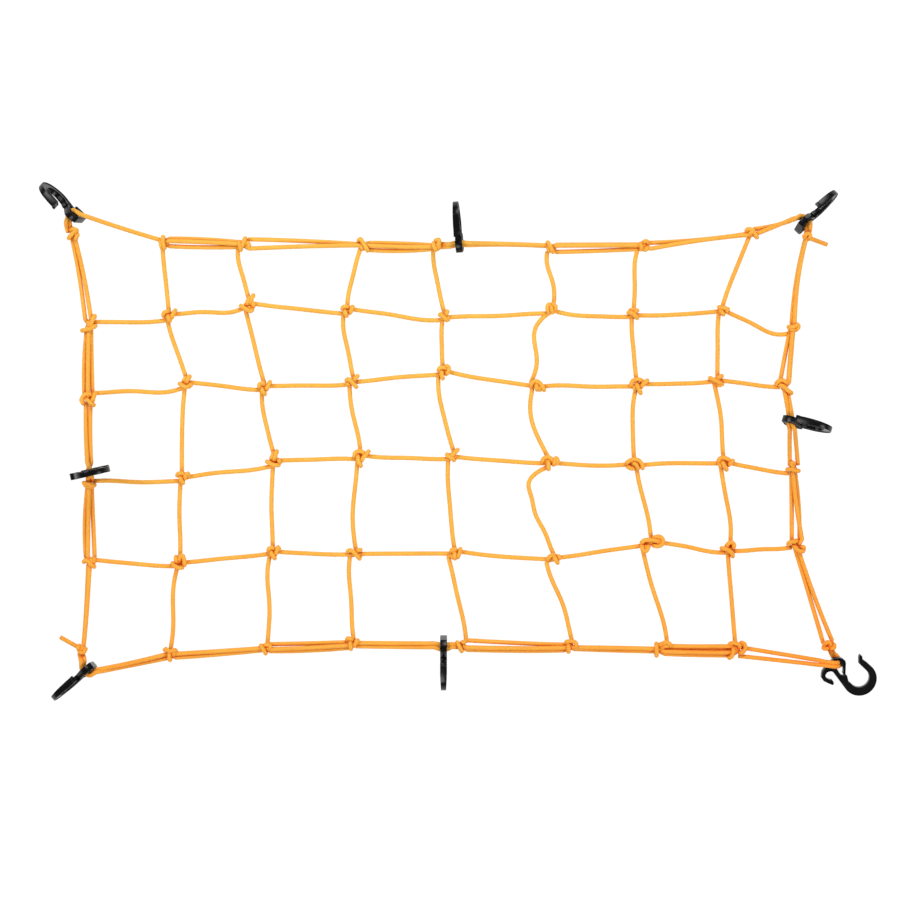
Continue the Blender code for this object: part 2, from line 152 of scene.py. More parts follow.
# The knots of the border, clockwise: (x, y, how far it is lifted)
EDGE_KNOTS = {
    "tie_top_left": (-383.6, 203.6, 11.5),
    "top_1": (-294.0, 197.0, 0.0),
    "top_2": (-214.4, 196.0, 0.0),
    "top_3": (-94.4, 195.0, 0.0),
    "top_4": (-22.0, 193.6, 10.0),
    "top_5": (92.7, 192.0, 0.0),
    "top_6": (185.8, 194.0, 0.0),
    "top_7": (292.4, 206.0, 0.0),
    "tie_top_right": (345.7, 201.4, 15.0),
    "right_1": (333.4, 113.0, 0.0),
    "right_2": (323.4, 54.0, 1.5),
    "right_3": (332.9, -28.0, 1.0),
    "right_4": (335.4, -104.0, 0.0),
    "tie_bottom_right": (369.0, -205.0, 3.0),
    "bottom_7": (276.6, -209.5, 0.0),
    "bottom_6": (200.5, -209.5, 0.0),
    "bottom_5": (110.4, -205.5, 0.0),
    "bottom_4": (3.0, -204.0, 10.0),
    "bottom_3": (-106.3, -203.0, 0.0),
    "bottom_2": (-193.6, -207.0, 0.0),
    "bottom_1": (-288.0, -213.0, 0.0),
    "tie_bottom_left": (-375.5, -207.5, 11.5),
    "left_4": (-368.5, -121.0, 0.0),
    "left_3": (-368.5, -43.6, 6.0),
    "left_2": (-369.6, 41.0, 0.0),
    "left_1": (-368.5, 117.0, 0.0),
}

# The knots of the mesh, in rows from the top left: (x, y)
MESH_KNOTS = [
    [(-289, 124), (-211, 135), (-112, 129), (-15, 123), (92, 131), (174, 126), (263, 129)],
    [(-273, 57), (-194, 52), (-107, 58), (-15, 68), (78, 54), (179, 54), (257, 60)],
    [(-275.5, -37), (-185, -19), (-99, -17), (-7, -15), (90, -22.5), (176, -24), (265, -23)],
    [(-280, -121), (-185, -112), (-104, -113), (-3, -113), (94, -118), (191, -102), (269, -110)],
]

# How each span of a column runs, from the top: (offset at its start, offset at its end, bow, finer waves),
# to the left of the way down. The values, here and for the rows, are a fit to the strands in the photograph.
COLUMN_SHAPES = [
    [(-2.6, -0.6, -0.3, -0.2, -0.1), (-3.4, 2.1, -0.9, -0.4, -0.1), (-0.7, -1.4, -1.6, -0.2, -0.1),
     (-2.8, 1.0, -0.6, -0.5, 0.2), (0.0, -1.2, -1.3, -1.9, 0.0)],
    [(-6.3, 2.6, -2.6, -1.0, -0.4), (-3.6, 0.8, -0.4, 0.3, -0.1), (-3.2, 1.5, -2.9, -0.5, -0.3),
     (-0.9, -1.1, -1.4, -0.1, 0.2), (-3.4, 1.8, -0.4, -1.7, -0.6)],
    [(-2.7, 0.0, -2.5, 0.3, -0.4), (-3.5, 2.1, -2.2, -0.9, -0.4), (-2.8, 0.9, -0.8, -1.1, 0.1),
     (-2.5, 1.4, -3.8, 1.0, 0.1), (-4.8, 1.6, -2.0, -0.4, -0.7)],
    [(-4.0, 1.6, -2.5, -0.4, -0.4), (-1.4, -0.9, -1.5, -0.2, -0.2), (-5.8, 2.7, -3.7, -0.7, -0.4),
     (-3.7, -0.9, -2.5, -0.3, -0.4), (-8.7, 4.2, 1.6, -0.5, 0.4)],
    [(-3.9, 1.8, 0.5, -2.4, -0.5), (2.4, -7.7, -7.2, -6.2, -0.5), (-4.7, 1.6, -8.5, -1.1, 0.0),
     (5.9, 2.8, -23.5, -8.4, -3.8, -2.2, -1.4), (-7.7, 3.6, 1.8, -0.9, -0.7)],
    [(-6.3, 0.0, -1.8, -1.2, -0.3), (-1.5, -0.9, -1.4, -0.2, -0.3), (-1.9, -0.8, -3.1, -0.6, -0.3),
     (0.5, 1.0, 0.8, -0.9, 0.0), (-9.3, 7.9, 1.1, -1.4, 0.4)],
    [(-1.4, -1.4, -1.1, 0.3, -0.1), (-3.4, 1.0, -0.8, -0.3, -0.2), (-2.9, -0.2, 2.1, 0.6, -0.3),
     (-4.2, 0.8, 3.3, -1.3, 0.2), (-0.8, -0.1, -0.3, 0.0, -0.1)],
]

# How each span of a row runs, from the left, in the same columns
ROW_SHAPES = [
    [(1.3, -3.6, -1.5, 0.5, -0.1), (1.6, -0.7, -2.7, 2.0, -0.8), (2.5, -2.7, -0.7, -0.1, -0.2),
     (2.8, -2.8, -1.7, 0.9, -0.5), (-0.5, -4.1, 0.0, 0.1, 0.4), (-0.8, -2.7, -3.0, -0.7, -0.3),
     (-1.0, 0.3, -1.6, -0.1, -0.1), (1.5, -6.2, -5.2, 2.2, -0.8)],
    [(6.1, -3.5, -2.2, 1.9, -0.9), (1.4, -1.9, -0.5, 0.4, -0.2), (2.2, -1.9, -0.6, 0.4, -0.2),
     (0.0, -1.9, 0.7, -0.1, -0.2), (1.7, -0.5, -1.3, -0.5, -0.1), (-0.9, -0.4, 0.9, 0.7, 0.5),
     (2.4, -0.7, -1.4, 0.2, -0.2), (0.3, -1.1, -0.6, 0.4, -0.1)],
    [(2.7, -3.6, -0.6, 0.6, 0.4), (-0.6, -5.9, -0.4, 1.1, -0.2), (-1.4, -2.0, 0.8, -0.3, 0.2),
     (2.5, -3.6, -1.4, -0.3, -0.4), (-1.0, -0.5, -1.0, 0.0, -0.2), (0.3, 0.7, -2.4, 0.3, 0.0),
     (-1.5, 0.0, 1.5, 0.4, 0.0), (1.7, -5.3, -1.3, 0.2, -0.2)],
    [(2.3, -4.8, -1.2, 0.2, -0.2), (-1.6, -0.6, -0.4, 0.2, -0.2), (0.9, -0.8, -1.0, 0.2, -0.1),
     (-0.7, -0.3, 0.4, 0.0, 0.1), (2.4, -1.1, -1.5, -0.2, 0.0), (0.3, -1.8, -0.3, -0.2, -0.2),
     (1.6, -2.3, -0.8, 0.8, -0.4), (-0.4, -2.1, -1.1, 0.2, -0.5)],
]

# Strands of the border between two knots, clockwise: (from, to, offset to the outside at the start,
# middle and end, level)
BORDER_STRANDS = [
    ("top_1", "top_2", 4.5, 4.2, 1.4, 0),
    ("top_1", "top_2", 2.0, 1.1, -0.6, 1),
    ("top_1", "top_2", -2.8, -3.7, -2.6, 0),
    ("top_2", "top_3", 4.9, 3.6, 0.6, 0),
    ("top_2", "top_3", -5.0, -2.1, -0.4, 1),
    ("top_3", "top_4", 2.3, 2.2, 0.2, 0),
    ("top_3", "top_4", -0.6, -1.4, -1.4, 1),
    ("top_3", "top_4", -4.6, -5.2, -2.8, 0),
    ("top_5", "top_6", 3.4, 2.6, 1.7, 0),
    ("top_5", "top_6", 2.2, 1.4, 0.4, 1),
    ("top_5", "top_6", -4.0, -3.6, -2.6, 0),
    ("top_6", "top_7", 3.3, 0.3, 1.1, 0),
    ("top_6", "top_7", -3.9, -0.7, -0.6, 1),
    ("tie_top_right", "right_1", -1.5, -2.2, 1.0, 1),
    ("tie_top_right", "right_1", -1.8, -3.2, -1.7, 0),
    ("right_1", "right_2", 0.6, 3.1, 5.7, 0),
    ("right_1", "right_2", -0.4, 1.7, 4.4, 1),
    ("right_1", "right_2", -2.3, -3.2, -3.8, 0),
    ("right_3", "right_4", 1.8, 5.0, 4.4, 0),
    ("right_3", "right_4", -0.4, 2.4, 7.6, 1),
    ("right_3", "right_4", -1.4, -2.1, -3.2, 0),
    ("right_4", "tie_bottom_right", 1.4, 1.7, 4.6, 0.6),
    ("right_4", "tie_bottom_right", -1.2, -2.6, -4.8, 0),
    ("bottom_7", "bottom_6", 5.3, 5.0, 3.7, 0),
    ("bottom_7", "bottom_6", 2.1, 1.9, 0.8, 1),
    ("bottom_7", "bottom_6", -1.0, -0.9, -1.8, 0),
    ("bottom_7", "bottom_6", -4.3, -3.9, -4.7, 1),
    ("bottom_6", "bottom_5", 1.4, 2.4, 2.8, 0),
    ("bottom_6", "bottom_5", -1.5, -0.5, 1.0, 1),
    ("bottom_5", "bottom_4", 4.1, 5.5, 4.3, 0),
    ("bottom_5", "bottom_4", 1.2, 2.6, 1.6, 1),
    ("bottom_5", "bottom_4", -1.3, -2.4, -5.3, 0),
    ("bottom_3", "bottom_2", 4.0, 5.0, 3.7, 0),
    ("bottom_3", "bottom_2", 1.2, 1.9, 1.4, 1),
    ("bottom_3", "bottom_2", -1.5, -2.2, -3.3, 0),
    ("bottom_2", "bottom_1", 2.4, 3.9, 4.4, 0),
    ("bottom_2", "bottom_1", 0.1, 0.4, 0.2, 0.8),
    ("tie_bottom_left", "left_4", -1.7, 0.3, 2.0, 0),
    ("tie_bottom_left", "left_4", -2.4, -1.1, -0.2, 1),
    ("left_4", "left_3", 4.1, 5.4, 1.6, 0),
    ("left_4", "left_3", 2.0, 1.4, -0.2, 1),
    ("left_4", "left_3", -4.7, -3.0, -2.2, 0),
    ("left_2", "left_1", 4.7, 5.5, 2.8, 0),
    ("left_2", "left_1", 0.8, 1.2, 1.0, 1),
    ("left_2", "left_1", -3.5, -1.9, -0.8, 0),
    ("left_1", "tie_top_left", 4.7, 2.7, 1.9, 0),
    ("left_1", "tie_top_left", -1.7, -2.1, -1.0, 0.5),
]

# A hook's place: name: (x and y of the middle of its eye, yaw, pitch, roll in degrees)
HOOKS = {
    "hook_top_left": (-383.3, 223.7, 130.0, -17.0, 74.0),
    "hook_top_middle": (-0.2, 194.5, 94.0, 2.0, 86.0),
    "hook_top_right": (342.9, 217.0, 38.8, -25.0, 79.0),
    "hook_right_middle": (328.8, 19.4, -15.0, 13.0, 84.0),
    "hook_bottom_right": (376.7, -224.5, -49.0, -7.5, 4.0),
    "hook_bottom_middle": (-15.6, -205.0, -90.0, -20.0, 90.0),
    "hook_bottom_left": (-369.7, -227.8, 222.0, -10.0, 93.0),
    "hook_left_middle": (-367.0, -31.8, 8.0, 57.0, 95.0),
}

# Each strand through a hook's eye, clockwise: (from, hook, to, lane in the eye, offsets to the outside at the
# knot, middle and eye on the way in, at the eye, middle and knot on the way out, level in, level out)
EYE_STRANDS = [
    ("tie_top_left", "hook_top_left", "top_1", 0, (4.0, 7.2, 6.5), (-0.2, 0.0, 1.7), 0, 1),
    ("tie_top_left", "hook_top_left", "top_1", 1, (1.4, 3.4, 4.4), (-0.2, -0.1, 1.9), 0, 0),
    ("top_4", "hook_top_middle", "top_5", 0, (2.0, 1.4, 1.8), (2.4, 2.9, 2.6), 0, 1),
    ("top_4", "hook_top_middle", "top_5", 1, (-1.7, -1.2, -0.8), (-0.2, 2.1, 1.8), 0, 0),
    ("top_7", "hook_top_right", "tie_top_right", 0, (5.1, 2.4, 4.6), (7.6, 5.0, 0.6), 0, 0),
    ("top_7", "hook_top_right", "tie_top_right", 1, (-1.4, 1.8, 5.6), (4.4, 1.4, -2.0), 1, 0),
    ("right_2", "hook_right_middle", "right_3", 0, (3.2, 3.2, 2.8), (3.7, 4.8, 5.6), 0, 0),
    ("right_2", "hook_right_middle", "right_3", 1, (0.4, 0.2, -0.4), (-0.5, -1.8, -2.7), 0.6, 0),
    ("tie_bottom_right", "hook_bottom_right", "bottom_7", 0, (0.6, 1.2, 1.4), (2.8, 4.0, 5.7), 0, 0),
    ("tie_bottom_right", "hook_bottom_right", "bottom_7", 1, (-1.2, -1.4, -1.6), (-0.8, -2.2, -3.4), 0, 0),
    ("bottom_4", "hook_bottom_middle", "bottom_3", 0, (1.9, 1.7, 1.7), (2.0, 2.5, 2.7), 0, 0),
    ("bottom_4", "hook_bottom_middle", "bottom_3", 1, (-1.0, -1.2, -1.6), (-1.9, -1.2, -0.7), 0.6, 0.6),
    ("bottom_1", "hook_bottom_left", "tie_bottom_left", 0, (3.8, 5.0, 6.0), (7.5, 5.5, 2.8), 0, 0),
    ("bottom_1", "hook_bottom_left", "tie_bottom_left", 1, (-0.6, 2.4, 3.4), (3.8, 1.8, -0.6), 1, 0),
    ("left_3", "hook_left_middle", "left_2", 0, (1.8, 1.8, 1.8), (2.3, 3.7, 3.3), 0, 0),
    ("left_3", "hook_left_middle", "left_2", 1, (-2.4, -2.4, -2.4), (-1.3, -0.5, -1.4), 0, 0),
]

# Where the border is seen to cross each hook's eye, on the floor
CROSSINGS = {
    "hook_top_left": (-386.0, 229.0),
    "hook_top_middle": (0.0, 195.0),
    "hook_top_right": (344.0, 220.0),
    "hook_right_middle": (331.0, 19.0),
    "hook_bottom_right": (379.0, -224.0),
    "hook_bottom_middle": (-16.0, -205.0),
    "hook_bottom_left": (-369.0, -227.0),
    "hook_left_middle": (-369.0, -31.0),
}

# The turn of the border through the eye of a corner hook: its first and last angle, in degrees
TURNS = {
    "hook_top_left": (-40, 28),
    "hook_top_right": (-50, 34),
    "hook_bottom_left": (-48, 28),
}

# Where the two strands lie in the eye of a hook on a side: (a where it enters, a where it leaves, b), along
# and up the hook
EYE_LANES = {
    "hook_top_middle": ((1.4, 1.4, 2.0), (-1.2, -1.2, -0.4)),
    "hook_right_middle": ((0.2, 2.6, 1.6), (-3.2, -1.5, -0.2)),
    "hook_bottom_middle": ((1.4, 1.4, 1.9), (-2.6, -2.6, -0.4)),
    "hook_left_middle": ((3.0, 3.0, 0.6), (-1.4, -1.4, 0.6)),
}

# The two strands through the eye of the flat hook, in (a, b, height) along and across the hook
FLAT_HOOK_OUTER = [(-9, 6.2, 2.2), (-3, 6.4, 2.2), (1.6, 5.0, 2.3), (2.2, 3.2, 3.0), (1.8, 1.8, 5.8),
                   (1.0, 0.8, 9.5), (0.0, -0.6, 13.0), (-2.0, -2.9, 15.2), (-3.9, -4.5, 15.6),
                   (-6.6, -6.9, 15.7), (-10.3, -10.2, 15.2)]
FLAT_HOOK_INNER = [(-9, 3.2, 2.2), (-5, 3.0, 2.2), (-3.0, 2.6, 3.4), (-2.2, 2.6, 6.5), (-2.2, 2.4, 10.5),
                   (-3.0, 1.4, 13.6), (-4.4, -0.3, 15.2), (-5.9, -1.6, 15.6), (-9.0, -4.2, 15.7),
                   (-12.6, -7.5, 15.2)]

# The cut ends of the border: (tie, x, y and height of the tip)
CUT_ENDS = [
    ("tie_top_right", 366.0, 195.0, 9.0),
    ("tie_bottom_left", -397.5, -196.5, 6.0),
]

# Inside the eyes. A lane of a turn is (its radius, b)
EYE_HALF_DEPTH = 3.4
TURN_MIDDLE = -6.5
TURN_LANES = ((9.3, 1.9), (8.5, -1.5))
TURN_STEPS = 6

# Hook
HALF_THICKNESS = 3.4
RIM_WIDTH = 0.85
RIM_HEIGHT = 0.9
FIELD_SLOPE = 0.25
EDGE_ROUNDING = 0.45
TAPER_START = 14.0
TAPER_LENGTH = 26.0
TAPER = 0.22  # how much thinner the far end of the bend is, as a share
SHARP_ANGLE = 35
LEVEL_EDGE = 1e-6

# Outline of a hook that lies flat, from the middle of its eye: a along it, b across
HOOK_EYE_SIDE = [(1.5, -7.3)]
HOOK_BEND_OUTER = {"a": 24.5, "b": 8.3, "radius": 17.2, "start": -97, "end": 92, "steps": 36}
HOOK_TIP = [(16.4, 24.5), (10.8, 23.2), (8.0, 24.9), (5.8, 24.6), (6.4, 22.2), (11.7, 17.8)]
HOOK_BEND_INNER = {"a": 23.5, "b": 9.0, "radius": 9.9, "start": 93.5, "end": -93.5, "steps": 30}
HOOK_CATCH = [(19.0, -1.6), (15.6, -0.1), (13.6, 1.0), (12.1, 0.8), (11.2, -1.9), (8.7, -3.4)]
HOOK_EYE = [(2.9, -2.4), (-3.0, -3.0), (-4.4, -1.0), (-4.2, 2.0), (-2.5, 3.9), (0.4, 4.1), (3.8, 3.1),
            (7.0, 1.5), (8.7, -0.7)]
HOOK_FINGER_END = [(10.5, -1.1), (11.1, 0.8)]
HOOK_FRAME = [(3.1, 7.9), (0.7, 9.2), (-2.7, 8.6), (-5.9, 6.5), (-8.6, 1.9)]
HOOK_SIDE_HOOK = [(-6.7, -12.0), (-6.1, -14.9), (-4.2, -17.4), (-1.5, -19.9), (2.4, -20.3), (8.0, -17.9),
                  (11.6, -16.0), (11.3, -14.3), (9.3, -13.2), (7.0, -13.1), (5.6, -14.8), (1.5, -16.3),
                  (-1.2, -15.2), (-2.2, -11.7), (-0.6, -8.4)]

# The cords that show on each knot of the mesh, by row and column from the top left. Each is its height and
# its course, in pairs (x, y) from the knot's middle
MESH_KNOT_CORDS = {
    (1, 1): [(6.2, -5.6, -1.4, -3.4, -1.6, -0.5, -1.2), (7.0, -6.5, -1, -5.5, 3, -1.7, 4.6, 1, 3.5),
             (8.4, -2.2, 1.5, -0.7, -2.3, 0.8, -6.2), (7.4, 1, -3, 3.7, 1.7, 6.4, 6.8)],
    (1, 2): [(6.2, -0.5, -2.4, 1.4, -2.8, 3.2, -2), (8.2, -8, 0, -2.6, -3.3, 2.8, -6.2, 5.5, -4),
             (7.2, -1.5, -1, 0.2, 4, 2.2, 8.5), (6.4, 1.5, 0, 3.8, 5.5, 6, 11),
             (6.2, 5.5, -3, 5.5, 1.5, 3, 3.5)],
    (1, 3): [(7.4, -5.1, 1, -3.8, 3.8, 0, 4.4, 3, 3.6), (8.4, -2, 1.5, -1.2, -2.5, 0.3, -6),
             (7.0, 2.5, -3, 4.6, 1.5, 6, 5.5)],
    (1, 4): [(8.2, -5.5, 1.5, -3.5, 2.6, -0.3, -0.2, 3.5, -4.2), (7.2, 0.8, 0.5, 2.4, 3.2, 3.6, 6.8),
             (6.2, 3.5, -4, 4, -1, 2, 1)],
    (1, 5): [(7.6, 0.9, 4.4, -3.2, 4.2, -4.2, 0.5, -2.2, -4.4), (7.4, -0.5, 3, 1.7, 4.6, 4.2, 2, 3.0, -2.5),
             (8.6, -0.6, 4.6, -0.2, 0.5, 1.4, -4.8)],
    (1, 6): [(8.2, -6.5, 1.5, -2.5, 1.2, 0.5, -1, 4.5, -4.8), (7.2, 0.2, 0.5, 2, 2.5, 4.8, 4.2),
             (6.2, -4.5, 3.4, -1, 4.4, 3, 4), (6.4, 0.5, -3.8, 3, -2.5, 5, -1.5)],
    (1, 7): [(7.8, -5, 4.3, -1.5, 3.2, 2.5, 2.6, 5.5, 1.6), (8.4, -3, 1.5, -1, -1.5, 1.2, -4.5),
             (7.0, 1.6, -1, 3.5, 0, 6, 3)],
    (2, 1): [(8.2, -7, 0.3, -4.5, -1.4, 0.5, -3.8, 5.2, -3), (7.6, 0, -0.5, 2, 3, 4.6, 8),
             (6.4, -2.8, 0.8, -1.2, 3.2, 1.2, 6.6), (6.6, 2, -2, 5, -1.5, 5.5, 0.5)],
    (2, 2): [(7.2, -5.8, -0.5, -5.2, 3.6, -1.8, 5, 0.8, 2.4), (8.4, -3, 1.2, -1.8, -2.8, 1, -7),
             (7.6, 0.8, -2.5, 3.2, 2, 5.8, 7.4)],
    (2, 3): [(8.4, -6.5, 1.2, -4, 3, -1, 1.2, 2, -2.2, 5.2, -5.8), (7.2, 1, 0.5, 3.4, 3.6, 6.4, 7.4),
             (6.2, -6.8, -1.5, -4, -1.2, -1, -3)],
    (2, 4): [(7.4, -6, 0.8, -4.6, 4.2, -0.5, 4.4, 2.6, 2.8), (8.4, -2.8, 2, -2.2, -3, -1, -7.5),
             (7.2, 1.2, -2.8, 4.2, 0.5, 4.8, 5.8), (6.4, 0.5, 5.4, 3, 6, 5.5, 4)],
    (2, 5): [(7.4, -6.4, -0.5, -5.4, 3.2, -2, 5, 2.2, 3.2, 5, -0.8, 7.2, -5),
             (8.2, -1.8, 3, -0.8, -0.5, 0, -4.8), (7.2, 0.2, 0.5, 1.6, -2.2, 2.8, -5)],
    (2, 6): [(6.6, -7.6, -1, -7, 4, -3, 6.6, 2, 6.2, 5, 4), (8.4, -2.8, 3.4, -0.8, -1.4, 2.6, -8),
             (7.6, 1.5, -2, 4.6, 2.2, 9.6, 6.6), (6.2, -5.5, 1.5, -3.6, -1.5, -3.5, -5)],
    (2, 7): [(8.0, -8, 2.8, -4.5, 0.8, 0.5, -1.4, 5, -4.2), (7.4, -1, 0.5, 1.8, 2.8, 6.2, 4.8),
             (6.2, -0.5, -4.2, 3, -5, 6.6, -3.6)],
    (3, 1): [(7.6, -6.6, 1, -4.6, 3.8, -1, 4, 2, 2.6), (8.4, -3, 1.8, -1.8, -2.2, 0.6, -6.8),
             (7.0, 0.8, -2.5, 2.8, 2, 4.8, 4.2, 5.8, 0.5)],
    (3, 2): [(8.2, -8, -1.6, -4, -3.6, 1, -5.8, 6, -5.8), (7.6, -0.2, -1.8, 1.6, 3.4, 3.4, 9.4),
             (6.6, -3, -0.8, -1.2, 3.6, 1, 7), (6.6, 6.5, -4.5, 5, -1, 3, 0.5)],
    (3, 3): [(7.2, -5.6, -0.5, -5, 4.2, -1, 6.2, 3.2, 4.8, 5, 2.5), (8.4, -2.2, 3, -1.6, -3, 1.4, -9.6),
             (7.8, 0.6, -4.5, 4, 0.5, 9.4, 7)],
    (3, 4): [(8.2, -2.5, -2, 1.6, 1.6, 6.4, 6.6), (7.4, -6, 1.8, -4, -0.8, 0.5, -3, 2.5, -5.8),
             (6.8, 0.5, -1, 3.2, -1.5, 4.6, -3.6)],
    (3, 5): [(7.2, -7.6, 0, -6, 4, -1.8, 6, 2, 3.8, 4, 0.5), (8.4, -1.4, 3.2, -1, -2.5, -0.8, -7.6),
             (7.4, 3.8, -3, 5, 1, 6.5, 5, 8.2, 2, 6.5, -2), (6.2, -5.5, 1.0, -2, 2.2, 1.5, 2.4)],
    (3, 6): [(7.8, -9.8, 0.5, -6.5, 3.6, -1, 5, 3.5, 3.4, 6.5, -1, 7.4, -5),
             (6.2, -9.2, -1.5, -5.5, -3.8, 0, -4.2), (8.4, -4, 2, 0, 0, 3.2, -5)],
    (3, 7): [(7.4, -6.8, 0.5, -5.4, 4.6, -1, 5.6, 3.6, 3.8, 5.6, 1.5),
             (8.4, -3.4, 2.8, -0.8, -2.2, 2.4, -7.4), (7.4, 3, -2.6, 5.8, 0.6, 9, 3.6),
             (6.4, -6.4, 0.5, -4.4, -2, -2, -4)],
    (4, 1): [(8.2, -7, -0.6, -4, -3.8, 0.5, -6, 5, -5.8),
             (7.4, 6.2, -4.5, 5.8, 2, 3.6, 6.4, 1.4, 4, 0.8, 0), (7.2, -2.8, 6, -2.4, 1.5, -1.8, -2)],
    (4, 2): [(7.4, -5.8, 0.8, -4.6, 4.2, -1.4, 4.8, 1, 3), (8.4, -3.6, 2, -1.4, -2, 1.8, -6.8),
             (7.2, 1, -3, 3, 1.5, 4.2, 5.8, 5.8, 2)],
    (4, 3): [(8.4, -8.2, 1.6, -5, 3.6, -1.4, 2, 2, -2, 5.4, -6), (7.2, 1, 1, 3.2, 3.2, 6.8, 4),
             (6.2, 2, -1, 4.5, -1.5, 6, -4)],
    (4, 4): [(7.2, -5.4, 0.5, -4.4, 3.8, -1, 4.2, 1, 2), (8.2, -1.6, 2.8, -1.6, -2, -1.2, -6.2),
             (7.8, 1, -4.8, 3, 0, 4.6, 5.8), (6.6, -5.4, -0.5, -4, -3, -2, -5)],
    (4, 5): [(7.0, -6, -1.5, -4, 2, -1, 3.6, 2, 3), (8.4, -0.6, 3.2, 2, -0.5, 4.8, -5.4),
             (6.8, 3, 2.8, 5.6, 2, 5.4, -1.5)],
    (4, 6): [(8.2, -9.8, -1.4, -7, 2.2, -1, 2.6, 6, 1.6, 9.5, 0),
             (7.2, 2, 4.6, 8, 6.2, 12, 3, 11, -2, 6, -3.6, 1.5, -2.6),
             (7.4, -8.8, -1.5, -8.4, -5.5, -5.5, -8.8, -3.4, -6.5, -1.5, -2),
             (6.2, -6, -2, -4.6, -5, -3.8, -8), (6.6, 3, 2.4, 6.4, 3.4, 8.8, 1, 6.6, 0.2)],
    (4, 7): [(8.4, -8.6, 2.4, -4.4, 2, 0.5, -0.4, 3.4, -3.4, 4, -7),
             (7.2, -2.6, 2.5, -1.4, 6.4, 2.4, 8.4, 5.2, 5.2, 4, 1.5)],
}

